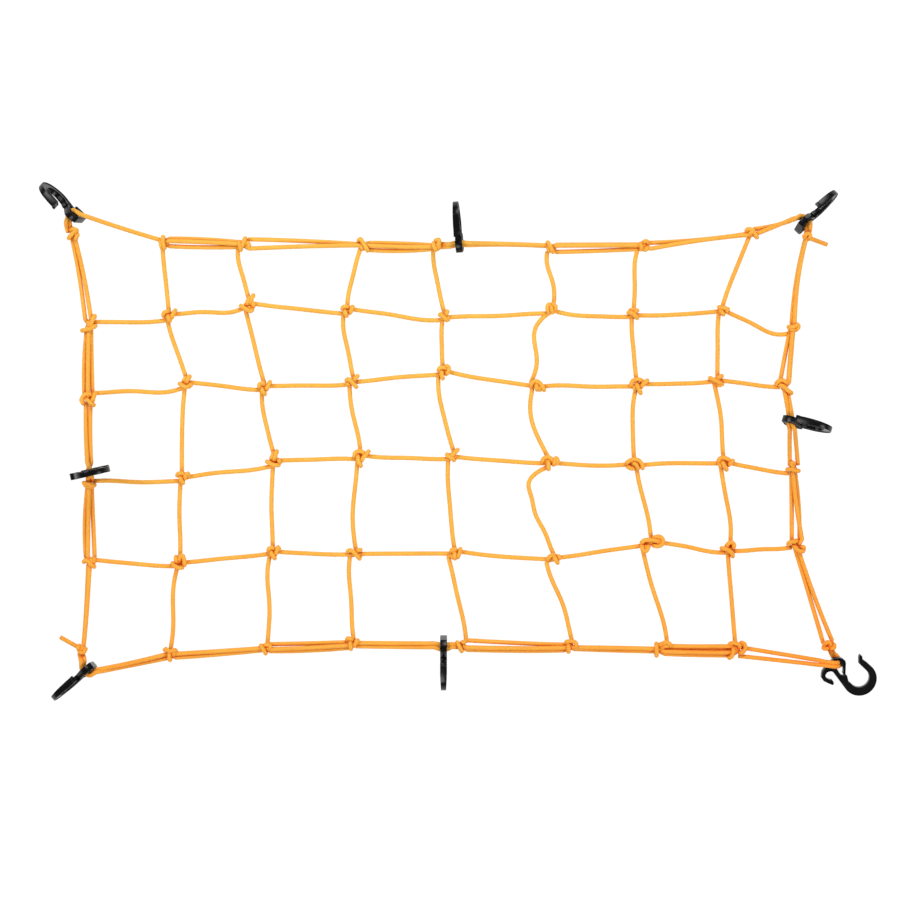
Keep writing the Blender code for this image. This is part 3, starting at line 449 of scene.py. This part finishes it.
# The same for the knots of the border
EDGE_KNOT_CORDS = {
    "top_1": [(8.0, -1.4, 7.4, -1.3, 0.2, 0.2, -6.6), (6.8, -4, 4.6, -3.6, 0, -2.6, -6)],
    "top_2": [(8.4, -3.4, -4.6, -0.5, 1, 1.2, 6.8), (7.6, -4.6, 3.4, -4.4, -2, -3.2, -7.2),
              (7.0, -1, -1, 3, 1.2, 5, -2, 1.5, -4.4)],
    "top_3": [(8.4, -7, 4, -4, 5.6, -1.2, 1.4, 1.4, -3, 3.6, -6.8), (6.8, -4, 1, -3, -2.5, -1, -5)],
    "top_4": [(8.0, -3.6, 3.6, -3.2, -1, -0.6, -5.6), (8.4, -2.6, 4.6, 1.5, 5.4, 2, 2, -1, -1),
              (7.2, 2, 4.5, 2.2, 0.5, 0.5, -4.5)],
    "top_5": [(8.4, -5, 6.6, -2.6, 2.4, -0.4, -1.8, 1.6, -5.2), (6.8, -4, 3, -3.8, -1, -2, -4)],
    "top_6": [(8.2, -5.6, 3.4, -4.6, 0, -3.6, -4.8), (7.8, -3.4, 3, 0, 4.6, 4, 3.2),
              (7.2, -2.5, -2, 0.5, -4.4, 1.5, 0)],
    "top_7": [(7.6, -6.2, 1.5, -5, 4.4, -1, 4, 2, 0.5, 5.4, -4.6), (8.4, -4, -1, -1, 1.5, 1.5, 4.6)],
    "left_1": [(8.4, -9, -7.6, -4, -7, 2, -5.2, 6.6, -2.2), (8.0, 1, -5, 2.6, 1.5, 5.4, 8.4),
               (7.0, -1, 2, 0, -3, 2, -6)],
    "left_2": [(7.4, -5.2, -5.4, -7, -1, -4.4, 3.8, 0.8, 5.4, 3.6, 3), (8.4, -3.4, 1, 0.6, -2, 6, -6.8),
               (7.8, 2.8, -3, 5.4, 2, 6.6, 7.8)],
    "left_3": [(8.4, -6.4, 1.6, -1, 0, 3, -0.8, 7, -1.2), (7.2, -5, -1, 0, -2.4, 5, -2.6)],
    "left_4": [(8.4, -7, -1.2, -4, 1.6, -1, 0.5, 1.5, -2.5, 5.4, -6), (7.8, 0.2, 3.6, 2, 0.6, 1.5, -2.8),
               (6.8, 3.4, 4.4, 4.4, 1, 3, -2.5)],
    "right_1": [(8.4, -6, 0.6, -2.4, -0.6, 2, 1, 5, 3.4), (7.4, 5.4, 2.8, 4.6, -0.6, 2, -3.8),
                (7.4, -5, -1, -1, -2.6, 3, -2.8)],
    "right_2": [(7.6, -7.8, 1, -6, 4.6, -1, 5.6, 2.2, 3.6, 0.5, 1.5),
                (8.4, -5.2, 2, 0, -0.5, 4, -4.5, 8.8, -7.6)],
    "right_3": [(8.4, -7, -1.2, -3, -0.6, 2, -2, 6.8, -2.6), (7.8, -2.2, 4.6, -0.6, 2, -0.4, -1.4),
                (7.2, -2.4, 1, -1, 6.2, 2, 3)],
    "right_4": [(8.2, -7.6, -1, -6, 2.4, -1, 3, 2.5, 4.5), (8.4, -2.6, -0.5, 0.5, -4, 4, -6.4, 9.2, -6.6),
                (7.4, 9, -5.5, 8, -2.5, 4.4, -2)],
    "bottom_1": [(7.6, -7, 3.4, -4.4, 4.8, 0, 2.8, 3.6, 4, 6.4, 1.8),
                 (8.4, -1.2, 2.2, -0.8, -2.5, -0.4, -7.6), (7.2, 1.6, -1.8, 3.4, 0.5, 5, 3)],
    "bottom_2": [(8.4, -5, 3.4, -2.6, 0.4, -0.6, -3, 1, -6.8), (7.2, -2, 2, 2, 3.4, 5.5, 1.5, 3.5, -2)],
    "bottom_3": [(7.6, -6.4, 3.4, -4.4, 5.6, -1.2, 4.8, 1, 3.2), (8.4, -2.4, 3.6, -2, -1, -1.6, -6.6),
                 (7.4, 0.2, -3.4, 2.6, 0, 4.6, 4.4, 5.2, 0.5)],
    "bottom_4": [(8.4, -5.6, 4.4, -3.8, 1, -1.8, -3, 0, -6.6), (7.2, -1.5, 3, 1.5, 3.6, 4, 5)],
    "bottom_5": [(7.6, -4.8, 2.6, -2.6, 4.8, 1.6, 5.2, 5.6, 3.8, 6.4, 0, 4.6, -2.6),
                 (8.4, -1.4, 3, -1.4, -2, -1.4, -6.8)],
    "bottom_6": [(8.4, -3.8, 8, -3.8, 1, -3.6, -6.6), (8.0, 1, 5.8, 5.4, 8.2, 9.6, 6.2, 10.4, 3),
                 (7.2, 2, 3.2, 6, 4.6, 10, 4), (6.8, -2, 4, 1, 6, 3, 6)],
    "bottom_7": [(7.8, -7.8, 4.6, -5, 7.4, -1, 7, 3, 5.2, 3.4, 1.5),
                 (8.4, -3, 3.6, -3.6, -1.5, -5.2, -6, -8.4, -8.2),
                 (7.4, 3.6, 7.8, 7.2, 7, 8.6, 2.5, 5.6, -2, 2, -3)],
    "tie_top_left": [(8.4, -4.8, -4, -1.6, -0.6, 1.2, 2.2, 4, 4.8),
                     (7.6, -2.6, 4.2, 0.4, 6.2, 3.6, 5, 3.6, 2.2), (7.2, 4.6, 2.4, 4, -1.6, 1.6, -4.6)],
    "tie_top_right": [(8.2, -3.4, -1.8, -3.4, 1.4, -1, 3, 1.4, 2, 1.8, -1, 0, -2.8),
                      (7.8, -1.4, 0.8, 0.4, 0, 2.8, -1.8)],
    "tie_bottom_right": [(8.4, -5.8, 0.2, -4.2, 3.2, -1.8, 4.2, 0.2, 2.4, 0.6, -0.8),
                         (7.8, -6.2, 0.4, -5.4, -2.4, -3, -2.4, -0.8, -0.4),
                         (8.0, -0.4, -0.2, 1.8, -1.8, 4, -1.4, 4.2, 1.2, 2.4, 3)],
    "tie_bottom_left": [(8.0, -1.6, 4.8, -2.4, 1.6, -1.2, -2.2),
                        (8.4, -2.4, -0.6, 0.2, -3, 3.2, -2.6, 4.4, -0.4, 3.2, 2.4),
                        (7.6, 0.6, 4.2, 1.6, 0.8, 0.8, -3)],
}


def arc(a, b, radius, start, end, steps):
    """Points round a middle, from one angle to another, in degrees."""
    points = []
    for step in range(steps + 1):
        angle = math.radians(start + (end - start) * step / steps)
        points.append((a + radius * math.cos(angle), b + radius * math.sin(angle)))
    return points


def left_of(direction):
    return Vector((-direction.y, direction.x, 0.0)).normalized()


def level_way(start, end):
    """The length, the direction and the left-hand side of the way between two points, seen from above."""
    flat = Vector((end.x - start.x, end.y - start.y, 0.0))
    return flat.length, flat.normalized(), left_of(flat)


def bowed_offset(share, first, middle, last):
    """How far to the side a curve through three offsets is, at a share of the way."""
    offset = first * (1 - share) * (1 - 2 * share) + middle * 4 * share * (1 - share)
    return offset + last * share * (2 * share - 1)


def knot_middle(name):
    x, y, lift = EDGE_KNOTS[name]
    return Vector((x, y, CORD_AXIS + lift))


def mesh_knot_middle(row, column):
    x, y = MESH_KNOTS[row][column]
    return Vector((x, y, CORD_AXIS))


def hanging_height(along, length, start_rise, end_rise):
    """How far a cord is lifted off the floor between two raised ends."""
    reach = min(LIFT_REACH, length)
    from_start = max(0.0, 1.0 - along / reach)
    from_end = max(0.0, 1.0 - (length - along) / reach)
    return start_rise * from_start**2 + end_rise * from_end**2


def placed(point):
    """A point of the tables, in Blender's metres and from the origin."""
    return Vector((point[0] - MIDDLE_X, point[1] - MIDDLE_Y, point[2])) * MM


def seen_at(x, y, z):
    """The place at height z that the camera sees over a place on the floor."""
    share = z / CAMERA_HEIGHT
    return Vector((x + (CAMERA_X - x) * share, y + (CAMERA_Y - y) * share, z))


def seen_on_floor(point):
    """The place on the floor that the camera sees a point over."""
    share = 1 / (1 - point.z / CAMERA_HEIGHT)
    return Vector((CAMERA_X + (point.x - CAMERA_X) * share, CAMERA_Y + (point.y - CAMERA_Y) * share, 0.0))


def smooth_path(points, spacing):
    """Points about spacing apart on a centripetal curve through the given points."""
    control = [Vector(point) for point in points]
    control = [control[0] * 2 - control[1]] + control + [control[-1] * 2 - control[-2]]
    path = []
    for index in range(1, len(control) - 2):
        before, start, end, after = control[index - 1:index + 3]
        times = [0.0]
        for first, second in ((before, start), (start, end), (end, after)):
            times.append(times[-1] + max(SHORTEST_CHORD, (second - first).length) ** 0.5)
        count = max(1, round((end - start).length / spacing))
        for step in range(count):
            time = times[1] + (times[2] - times[1]) * step / count
            path.append(spline_point((before, start, end, after), times, time))
    path.append(control[-2].copy())
    return path


def spline_point(control, times, time):
    """The Barry and Goldman steps of a centripetal curve."""
    level = list(control)
    for depth in range(1, 4):
        higher = []
        for index in range(len(level) - 1):
            if depth == 1:
                low, high = times[index], times[index + 1]
            elif depth == 2:
                low, high = times[index], times[index + 2]
            else:
                low, high = times[1], times[2]
            share = (time - low) / (high - low)
            higher.append(level[index].lerp(level[index + 1], share))
        level = higher
    return level[0]


class Tubes:
    """Round cords gathered into one mesh, with a map of length along and share around each cord."""

    def __init__(self):
        self.verts = []
        self.faces = []
        self.maps = []

    def add(self, path, radius=CORD_RADIUS):
        points = [placed(point) for point in path]
        count = len(points)
        tangents = []
        for index in range(count):
            ahead = points[min(index + 1, count - 1)] - points[max(index - 1, 0)]
            tangents.append(ahead.normalized())
        up = Vector((0, 0, 1))
        if abs(tangents[0].dot(up)) > NEARLY_UPRIGHT:
            up = Vector((1, 0, 0))
        normal = (up - tangents[0] * up.dot(tangents[0])).normalized()
        base = len(self.verts)
        along = [0.0]
        for index in range(count):
            if index:
                along.append(along[-1] + (points[index] - points[index - 1]).length)
                turn = tangents[index - 1].rotation_difference(tangents[index])
                normal.rotate(turn)
            side = tangents[index].cross(normal)
            for step in range(CORD_SIDES):
                angle = 2 * math.pi * step / CORD_SIDES
                spoke = normal * math.cos(angle) + side * math.sin(angle)
                self.verts.append(points[index] + spoke * radius * MM)
        for index in range(count - 1):
            self.add_band(base + index * CORD_SIDES, along[index], along[index + 1])
        self.add_cap(base, along[0], -1)
        self.add_cap(base + (count - 1) * CORD_SIDES, along[-1], 1)

    def add_band(self, ring, start, end):
        """The faces between a ring of points and the next."""
        for step in range(CORD_SIDES):
            following = (step + 1) % CORD_SIDES
            self.faces.append((ring + step, ring + following,
                               ring + CORD_SIDES + following, ring + CORD_SIDES + step))
            low, high = step / CORD_SIDES, (step + 1) / CORD_SIDES
            self.maps.append(((start, low), (start, high), (end, high), (end, low)))

    def add_cap(self, ring, along, order):
        loop = [ring + step for step in range(CORD_SIDES)][::order]
        self.faces.append(tuple(loop))
        self.maps.append(tuple((along, 0.5) for _ in range(CORD_SIDES)))

    def mesh(self, name):
        mesh = bpy.data.meshes.new(name)
        mesh.from_pydata([tuple(vert) for vert in self.verts], [], self.faces)
        layer = mesh.uv_layers.new(name="cord_map")
        spots = np.array([spot for face in self.maps for spot in face], dtype=np.float32)
        layer.uv.foreach_set("vector", spots.ravel())
        mesh.shade_smooth()
        return mesh


def span_path(start, end, shape):
    """A mesh cord between two knots."""
    start_offset, end_offset, *waves = shape
    length, ahead, left = level_way(start, end)
    steps = max(FEWEST_STEPS, round(length / SPAN_STEP))
    path = []
    for step in range(steps + 1):
        along = SPAN_INSET + (length - 2 * SPAN_INSET) * step / steps
        share = along / length
        turn = math.pi * share
        offset = start_offset * (1 - share) + end_offset * share
        offset += sum(height * math.sin((order + 1) * turn) for order, height in enumerate(waves))
        point = start + ahead * along + left * offset
        point.z = CORD_AXIS + hanging_height(along, length, start.z - CORD_AXIS, end.z - CORD_AXIS)
        path.append(point)
    return path


def border_path(start, end, first, middle, last, level):
    """A border strand between two knots, drawn together at both."""
    length, ahead, left = level_way(start, end)
    steps = max(FEWEST_STEPS, round(length / BORDER_STEP))
    path = []
    for step in range(steps + 1):
        share = step / steps
        along = length * share
        inside = min(1.0, KNOT_PINCH + min(along, length - along) / PINCH_REACH)
        point = start + ahead * along + left * bowed_offset(share, first, middle, last) * inside
        point.z = CORD_AXIS + hanging_height(along, length, start.z - CORD_AXIS, end.z - CORD_AXIS)
        point.z += level * LEVEL_RISE
        path.append(point)
    return path


def strand_to_eye(last, crossing, knot, offsets, level, outward):
    """A strand from a hook's eye to a knot, from the eye on. outward is 1 where the left is outside."""
    middle = knot_middle(knot)
    start = Vector((*crossing, 0.0))
    length, ahead, left = level_way(start, seen_on_floor(middle))
    past_eye = (seen_on_floor(last) - start).dot(ahead) + EYE_CLEARANCE
    begin = min(length * LATEST_START, max(EARLIEST_START, past_eye))
    steps = max(FEWEST_EYE_STEPS, round((length - begin) / EYE_STEP))
    points = []
    for step in range(steps + 1):
        along = begin + (length - EYE_STRAND_INSET - begin) * step / steps
        offset = bowed_offset(along / length, *offsets)
        fall = (1 - (along - begin) / (length - begin)) ** 2
        height = middle.z + (last.z - middle.z) * fall
        rise = min(1.0, (along - begin + RISE_HEAD_START) / RISE_FROM_EYE, (length - along) / RISE_TO_KNOT)
        height += level * LEVEL_RISE * rise
        spot = start + ahead * along + left * outward * offset
        points.append(seen_at(spot.x, spot.y, height))
    return points


def eye_points(hook, lane):
    """The middle line of a strand inside the eye, clockwise round the net."""
    if hook == "hook_bottom_right":
        x, y, yaw = HOOKS[hook][:3]
        ahead = Vector((math.cos(math.radians(yaw)), math.sin(math.radians(yaw)), 0.0))
        table = (FLAT_HOOK_OUTER, FLAT_HOOK_INNER)[lane]
        return [Vector((x, y, 0.0)) + ahead * a + left_of(ahead) * b + Vector((0.0, 0.0, height))
                for a, b, height in table]
    if hook in TURNS:
        first, last = TURNS[hook]
        radius, b = TURN_LANES[lane]
        return [hook_point(hook, a, b, c) for a, c in arc(TURN_MIDDLE, 0.0, radius, first, last, TURN_STEPS)]
    first, last, b = EYE_LANES[hook][lane]
    way = -1 if hook == "hook_left_middle" else 1
    return [hook_point(hook, first + (last - first) * (step + 1) / 2, b, way * EYE_HALF_DEPTH * step)
            for step in (-1, 0, 1)]


def eye_strands():
    strands = []
    for start, hook, end, lane, offsets_in, offsets_out, level_in, level_out in EYE_STRANDS:
        inside = eye_points(hook, lane)
        way_in = strand_to_eye(inside[0], CROSSINGS[hook], start, offsets_in[::-1], level_in, -1)
        way_out = strand_to_eye(inside[-1], CROSSINGS[hook], end, offsets_out, level_out, 1)
        strands.append(way_in[::-1] + inside + way_out)
    return strands


def dive(spot, following, height):
    """The end of a cord on a knot, from where it is buried up to its visible tip."""
    inward = (following - spot).normalized()
    return [
        spot + inward * BURIED_INSET + Vector((0, 0, UNDER_HEIGHT)),
        spot + Vector((0, 0, (height + UNDER_HEIGHT) / 2)),
        spot + inward * SHOULDER_INSET + Vector((0, 0, height - SHOULDER_DROP)),
    ]


def knot_cords(middle, rows):
    """The cords that show on a knot. Each dives under the knot at both its ends."""
    floor = Vector((middle.x, middle.y, middle.z - CORD_AXIS))
    paths = []
    for height, *flat in rows:
        spots = [Vector((x, y, 0.0)) for x, y in zip(flat[::2], flat[1::2])]
        spots[0] += (spots[1] - spots[0]).normalized() * TIP_INSET
        spots[-1] += (spots[-2] - spots[-1]).normalized() * TIP_INSET
        course = dive(spots[0], spots[1], height)
        course += [spot + Vector((0, 0, height)) for spot in spots[1:-1]]
        course += dive(spots[-1], spots[-2], height)[::-1]
        paths.append(smooth_path([floor + point for point in course], KNOT_SPACING))
    return paths


def knot_core(middle, reach):
    """The cord that is buried in a knot."""
    floor = Vector((middle.x, middle.y, middle.z - CORD_AXIS))
    ends = (-reach, -CORE_SLANT, CORE_END_HEIGHT), (0, 0, CORE_HEIGHT), (reach, CORE_SLANT, CORE_END_HEIGHT)
    return [floor + Vector(end) for end in ends]


def add_knot(tubes, middle, reach, cords):
    tubes.add(knot_core(middle, reach), CORE_RADIUS)
    for path in knot_cords(middle, cords):
        tubes.add(path)


def mesh_runs():
    """The middles of the knots along each column and each row, with the shapes of its spans."""
    for column, shapes in enumerate(COLUMN_SHAPES):
        middles = [knot_middle(f"top_{column + 1}")]
        middles += [mesh_knot_middle(row, column) for row in range(len(MESH_KNOTS))]
        middles += [knot_middle(f"bottom_{column + 1}")]
        yield middles, shapes
    for row, shapes in enumerate(ROW_SHAPES):
        middles = [knot_middle(f"left_{row + 1}")]
        middles += [mesh_knot_middle(row, column) for column in range(len(COLUMN_SHAPES))]
        middles += [knot_middle(f"right_{row + 1}")]
        yield middles, shapes


def mesh_cord():
    tubes = Tubes()
    for middles, shapes in mesh_runs():
        path = []
        for index, shape in enumerate(shapes):
            path += span_path(middles[index], middles[index + 1], shape)
        tubes.add(smooth_path(path, MESH_SPACING))
    for (row, column), cords in MESH_KNOT_CORDS.items():
        add_knot(tubes, mesh_knot_middle(row - 1, column - 1), CORE_REACH, cords)
    return tubes


def border_cord():
    tubes = Tubes()
    for start, end, first, middle, last, level in BORDER_STRANDS:
        path = border_path(knot_middle(start), knot_middle(end), first, middle, last, level)
        tubes.add(smooth_path(path, BORDER_SPACING))
    for strand in eye_strands():
        tubes.add(smooth_path(strand, EYE_SPACING))
    for tie, x, y, height in CUT_ENDS:
        tubes.add(smooth_path([knot_middle(tie), Vector((x, y, height))], EYE_SPACING))
    for name, cords in EDGE_KNOT_CORDS.items():
        reach = TIE_CORE_REACH if name.startswith("tie") else CORE_REACH
        add_knot(tubes, knot_middle(name), reach, cords)
    return tubes


def hook_outline():
    points = list(HOOK_EYE_SIDE)
    points += arc(**HOOK_BEND_OUTER)
    points += HOOK_TIP
    points += arc(**HOOK_BEND_INNER)
    points += HOOK_CATCH
    points += HOOK_EYE
    points += HOOK_FINGER_END
    points += HOOK_FRAME
    points += HOOK_SIDE_HOOK
    return points


def hook_rotation(name):
    yaw, pitch, roll = HOOKS[name][2:]
    return Euler((math.radians(roll), math.radians(-pitch), math.radians(yaw)), "XYZ")


def hook_eye_middle(name):
    """The middle of a hook's eye, with the hook standing on the floor."""
    x, y = HOOKS[name][:2]
    turn = hook_rotation(name).to_matrix()
    lowest = 0.0
    for a, b in hook_outline():
        for side in (-HALF_THICKNESS, HALF_THICKNESS):
            lowest = min(lowest, (turn @ Vector((a, b, side))).z)
    return Vector((x, y, -lowest))


def hook_point(name, a, b, c):
    return hook_eye_middle(name) + hook_rotation(name).to_matrix() @ Vector((a, b, c))


def hook_mesh():
    """One hook: its outline made solid, with a sunk field inside a rim on both faces, and soft edges."""
    body = bmesh.new()
    lower = [body.verts.new((a * MM, b * MM, -HALF_THICKNESS * MM)) for a, b in hook_outline()]
    face = body.faces.new(lower)
    made = bmesh.ops.extrude_face_region(body, geom=[face])
    raised = [item for item in made["geom"] if isinstance(item, bmesh.types.BMVert)]
    bmesh.ops.translate(body, verts=raised, vec=(0, 0, 2 * HALF_THICKNESS * MM))
    bmesh.ops.recalc_face_normals(body, faces=body.faces)
    rims = [edge for edge in body.edges if abs(edge.verts[0].co.z - edge.verts[1].co.z) < LEVEL_EDGE]
    bmesh.ops.inset_region(body, faces=many_sided_faces(body), thickness=RIM_WIDTH * MM, use_even_offset=True)
    bmesh.ops.inset_region(body, faces=many_sided_faces(body), thickness=FIELD_SLOPE * MM,
                           depth=-RIM_HEIGHT * MM, use_even_offset=True)
    rims = [edge for edge in rims if edge.is_valid]
    bmesh.ops.bevel(body, geom=rims, offset=EDGE_ROUNDING * MM, segments=3, profile=0.5, affect="EDGES",
                    clamp_overlap=True)
    for vert in body.verts:
        share = min(1.0, max(0.0, (vert.co.x / MM - TAPER_START) / TAPER_LENGTH))
        vert.co.z *= 1.0 - TAPER * share * share * (3 - 2 * share)
    bmesh.ops.triangulate(body, faces=many_sided_faces(body))
    mesh = bpy.data.meshes.new("hook")
    body.to_mesh(mesh)
    body.free()
    mesh.shade_smooth()
    mesh.set_sharp_from_angle(angle=math.radians(SHARP_ANGLE))
    return mesh


def many_sided_faces(body):
    return [face for face in body.faces if len(face.verts) > 4]


def node(tree, kind, **values):
    made = tree.nodes.new(kind)
    for name, value in values.items():
        setattr(made, name, value)
    return made


def math_node(tree, operation, first, second=None):
    made = node(tree, "ShaderNodeMath", operation=operation)
    for index, value in enumerate((first, second)):
        if value is None:
            continue
        if isinstance(value, (int, float)):
            made.inputs[index].default_value = value
        else:
            tree.links.new(value, made.inputs[index])
    return made.outputs[0]


def noise(tree, coordinates, scale, detail):
    texture = node(tree, "ShaderNodeTexNoise")
    texture.inputs["Scale"].default_value = scale
    texture.inputs["Detail"].default_value = detail
    tree.links.new(coordinates.outputs["Object"], texture.inputs["Vector"])
    return texture.outputs[0]


def colour_mix(tree, factor, first, second, blend_type="MIX"):
    """A mix of two colours, each given as a colour or as the output of a node."""
    mix = node(tree, "ShaderNodeMix", data_type="RGBA", blend_type=blend_type)
    tree.links.new(factor, mix.inputs["Factor"])
    for name, colour in (("A", first), ("B", second)):
        if isinstance(colour, tuple):
            mix.inputs[name].default_value = colour
        else:
            tree.links.new(colour, mix.inputs[name])
    return mix.outputs["Result"]


def add_bump(tree, shader, height, strength, distance):
    bump = node(tree, "ShaderNodeBump")
    bump.inputs["Strength"].default_value = strength
    bump.inputs["Distance"].default_value = distance
    tree.links.new(height, bump.inputs["Height"])
    tree.links.new(bump.outputs[0], shader.inputs["Normal"])


def new_material(name):
    material = bpy.data.materials.new(name)
    material.use_nodes = True
    tree = material.node_tree
    return material, tree, tree.nodes["Principled BSDF"]


def braid_height(tree):
    """Slanting carriers both ways round, over and under each other."""
    spots = node(tree, "ShaderNodeUVMap", uv_map="cord_map")
    parts = node(tree, "ShaderNodeSeparateXYZ")
    tree.links.new(spots.outputs[0], parts.inputs[0])
    along = math_node(tree, "MULTIPLY", parts.outputs[0], math.pi / CARRIER_LENGTH)
    around = math_node(tree, "MULTIPLY", parts.outputs[1], math.pi * CARRIERS)
    right = math_node(tree, "SINE", math_node(tree, "ADD", along, around))
    left = math_node(tree, "SINE", math_node(tree, "SUBTRACT", along, around))
    weave = math_node(tree, "ABSOLUTE", math_node(tree, "MULTIPLY", right, left))
    return math_node(tree, "POWER", weave, BRAID_ROUNDING)


def squared_gap(tree, value, origin):
    gap = math_node(tree, "ABSOLUTE", math_node(tree, "SUBTRACT", value, origin))
    return math_node(tree, "POWER", gap, 2.0)


def edge_redness(tree, coordinates):
    """Grows toward the lower and the right-hand edge, in metres from the yellowest place."""
    position = node(tree, "ShaderNodeSeparateXYZ")
    tree.links.new(coordinates.outputs["Object"], position.inputs[0])
    across = squared_gap(tree, position.outputs[0], YELLOWEST_X)
    down = squared_gap(tree, position.outputs[1], YELLOWEST_Y)
    total = math_node(tree, "ADD", across, math_node(tree, "MULTIPLY", down, DOWN_SHARE))
    return math_node(tree, "MULTIPLY", total, REDNESS)


def cord_material(name):
    """Braided fabric over elastic."""
    material, tree, shader = new_material(name)
    coordinates = node(tree, "ShaderNodeTexCoord")
    height = braid_height(tree)
    patches = noise(tree, coordinates, scale=45.0, detail=3.0)
    fibres = noise(tree, coordinates, scale=2600.0, detail=2.0)
    # Painted shade in the grooves of the braid, with random patches and fibres of tone
    groove_shade_and_tone = math_node(tree, "MULTIPLY", height, BRAID_SHADE_SHARE)
    groove_shade_and_tone = math_node(tree, "ADD", groove_shade_and_tone, math_node(tree, "MULTIPLY", patches, PATCH_SHARE))
    groove_shade_and_tone = math_node(tree, "ADD", groove_shade_and_tone, math_node(tree, "MULTIPLY", fibres, FIBRE_SHARE))
    shade = colour_mix(tree, groove_shade_and_tone, CORD_DARK, CORD_LIGHT)
    # Painted shade: ambient occlusion turns the colour a deeper, darker orange where a cord is close to
    # another.
    between = node(tree, "ShaderNodeAmbientOcclusion", samples=8, only_local=True)
    between.inputs["Distance"].default_value = PAINTED_SHADE_REACH
    openness = math_node(tree, "POWER", between.outputs["AO"], PAINTED_SHADE_DEPTH)
    with_painted_shade = colour_mix(tree, openness, CORD_PAINTED_SHADE, shade)
    warmed = colour_mix(tree, edge_redness(tree, coordinates), with_painted_shade, CORD_WARMTH, "MULTIPLY")
    tree.links.new(warmed, shader.inputs["Base Color"])
    shader.inputs["Roughness"].default_value = 0.66
    shader.inputs["Sheen Weight"].default_value = 0.08
    shader.inputs["Sheen Roughness"].default_value = 0.4
    shader.inputs["Sheen Tint"].default_value = CORD_SHEEN
    relief = math_node(tree, "ADD", height, math_node(tree, "MULTIPLY", fibres, FIBRE_HEIGHT))
    add_bump(tree, shader, relief, strength=0.6, distance=0.00025)
    return material


def plastic_material(name):
    """Moulded black plastic with a fine grain and faint scuffs."""
    material, tree, shader = new_material(name)
    coordinates = node(tree, "ShaderNodeTexCoord")
    grain = noise(tree, coordinates, scale=1800.0, detail=3.0)
    patches = noise(tree, coordinates, scale=90.0, detail=5.0)
    tree.links.new(colour_mix(tree, patches, PLASTIC_DARK, PLASTIC_LIGHT), shader.inputs["Base Color"])
    rough = node(tree, "ShaderNodeMapRange")
    rough.inputs["To Min"].default_value = 0.2
    rough.inputs["To Max"].default_value = 0.32
    tree.links.new(patches, rough.inputs["Value"])
    tree.links.new(rough.outputs[0], shader.inputs["Roughness"])
    shader.inputs["Specular IOR Level"].default_value = 0.25
    add_bump(tree, shader, grain, strength=0.12, distance=0.0002)
    return material


def make_camera():
    camera = bpy.data.objects.new("camera", bpy.data.cameras.new("camera"))
    bpy.context.scene.collection.objects.link(camera)
    camera.data.lens = CAMERA_LENS
    camera.data.sensor_width = SENSOR_WIDTH
    camera.data.clip_end = CLIP_END
    camera.location = placed((CAMERA_X, CAMERA_Y, CAMERA_HEIGHT))
    bpy.context.scene.camera = camera


def make_floor():
    mesh = bpy.data.meshes.new("floor")
    corners = [(-FLOOR_REACH, -FLOOR_REACH, 0), (FLOOR_REACH, -FLOOR_REACH, 0),
               (FLOOR_REACH, FLOOR_REACH, 0), (-FLOOR_REACH, FLOOR_REACH, 0)]
    mesh.from_pydata(corners, [], [(0, 1, 2, 3)])
    floor = bpy.data.objects.new("floor", mesh)
    floor.location.z = -FLOOR_GAP
    bpy.context.scene.collection.objects.link(floor)
    material, _, shader = new_material("floor_white")
    shader.inputs["Base Color"].default_value = (0.12, 0.12, 0.12, 1.0)
    shader.inputs["Roughness"].default_value = 0.9
    shader.inputs["Specular IOR Level"].default_value = 0.0
    shader.inputs["Emission Color"].default_value = WHITE
    shader.inputs["Emission Strength"].default_value = 0.95
    mesh.materials.append(material)


def make_lights():
    world = bpy.data.worlds.new("soft_white")
    bpy.context.scene.world = world
    world.use_nodes = True
    background = world.node_tree.nodes["Background"]
    background.inputs["Color"].default_value = WHITE
    background.inputs["Strength"].default_value = WORLD_STRENGTH
    for name, place, size, power in LIGHTS:
        light = bpy.data.objects.new(name, bpy.data.lights.new(name, "AREA"))
        light.data.shape = "DISK"
        light.data.size = size
        light.data.energy = power
        light.location = place
        light.rotation_euler = (-Vector(place)).to_track_quat("-Z", "Y").to_euler()
        bpy.context.scene.collection.objects.link(light)
    bpy.context.scene.view_settings.view_transform = "Standard"


def add_piece(name, mesh, material, slot, *nodes):
    mesh.materials.append(material)
    piece = bpy.data.objects.new(name, mesh)
    bpy.context.scene.collection.objects.link(piece)
    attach(piece, "root")
    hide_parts(*nodes)


def add_cords():
    fabric = cord_material("braided_cord")
    border = border_cord().mesh("border_cord_braid")
    add_piece("border_cord_braid", border, fabric, "orange_cord", "border_cord")
    mesh = mesh_cord().mesh("mesh_cord_braid")
    add_piece("mesh_cord_braid", mesh, fabric, "orange_cord", "mesh_cord")


def add_hooks():
    plastic = plastic_material("moulded_plastic")
    shape = hook_mesh()
    for name in HOOKS:
        mesh = shape.copy()
        mesh.transform(hook_rotation(name).to_matrix().to_4x4())
        shift = placed(hook_eye_middle(name))
        for vert in mesh.vertices:
            vert.co += shift
        add_piece(name + "_moulding", mesh, plastic, "black_plastic", name)


def main():
    make_camera()
    make_floor()
    make_lights()
    add_cords()
    add_hooks()


main()
